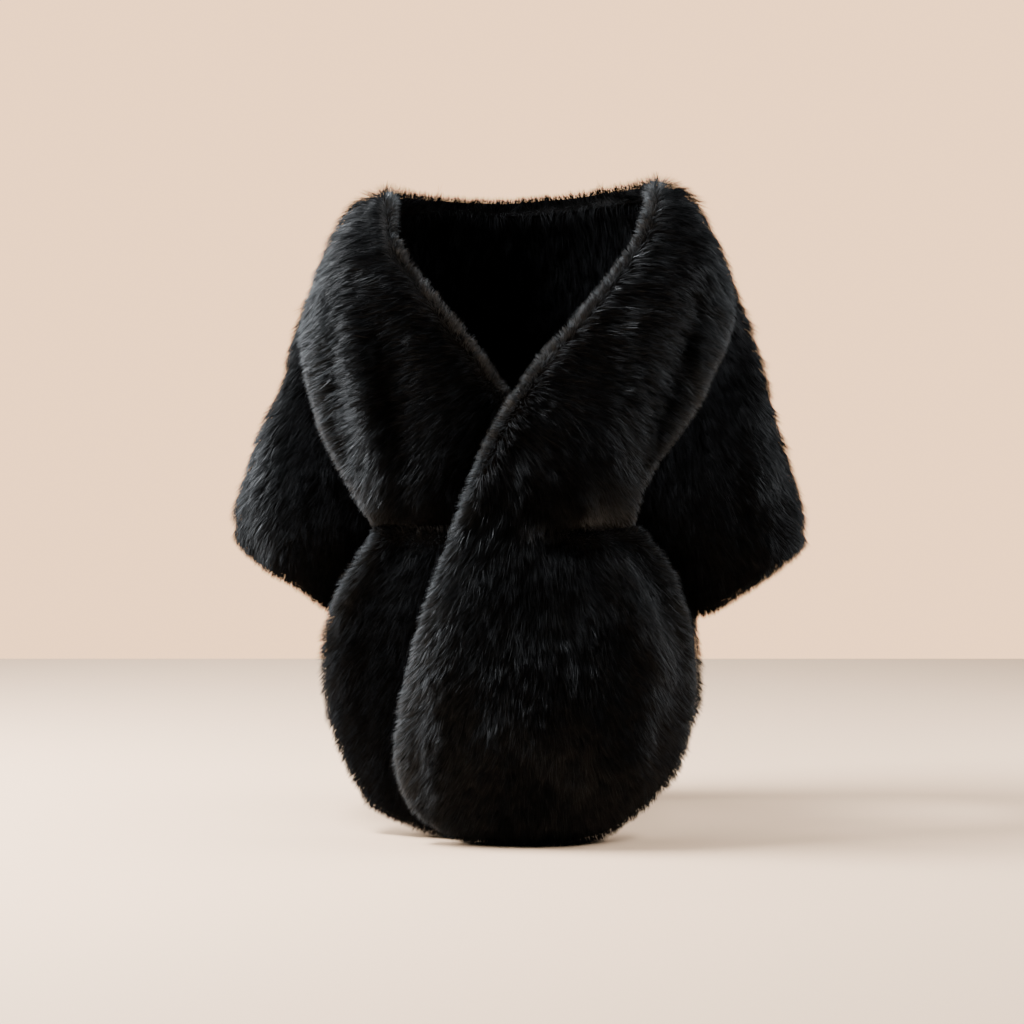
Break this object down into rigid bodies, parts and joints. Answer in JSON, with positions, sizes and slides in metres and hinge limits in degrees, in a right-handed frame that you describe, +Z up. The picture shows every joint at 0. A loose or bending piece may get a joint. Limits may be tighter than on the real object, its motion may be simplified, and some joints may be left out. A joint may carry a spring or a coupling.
{
  "type": "fur shawl",
  "caption": "Wide fur stole filled out as if worn, with crossed fronts gathered at the waist, rounded tails, panels over the arms and a long back, standing by itself.",
  "frame": {"origin": "on the surface that the shawl stands on, under the middle of its bounding box", "axes": "+Z up, the crossed fronts face -Y, the back faces +Y, +X is the viewer's right seen from the front"},
  "size_m": [0.7472, 0.3796, 0.8283],
  "materials": {
    "fur": "deep black plush faux fur on both faces, soft grey sheen where the pile turns to the light"
  },
  "bodies": {
    "root": {"back": "fur", "side_left": "fur", "side_right": "fur", "front_under": "fur", "front_over": "fur", "tail_under": "fur", "tail_over": "fur"}
  },
  "joints": []
}
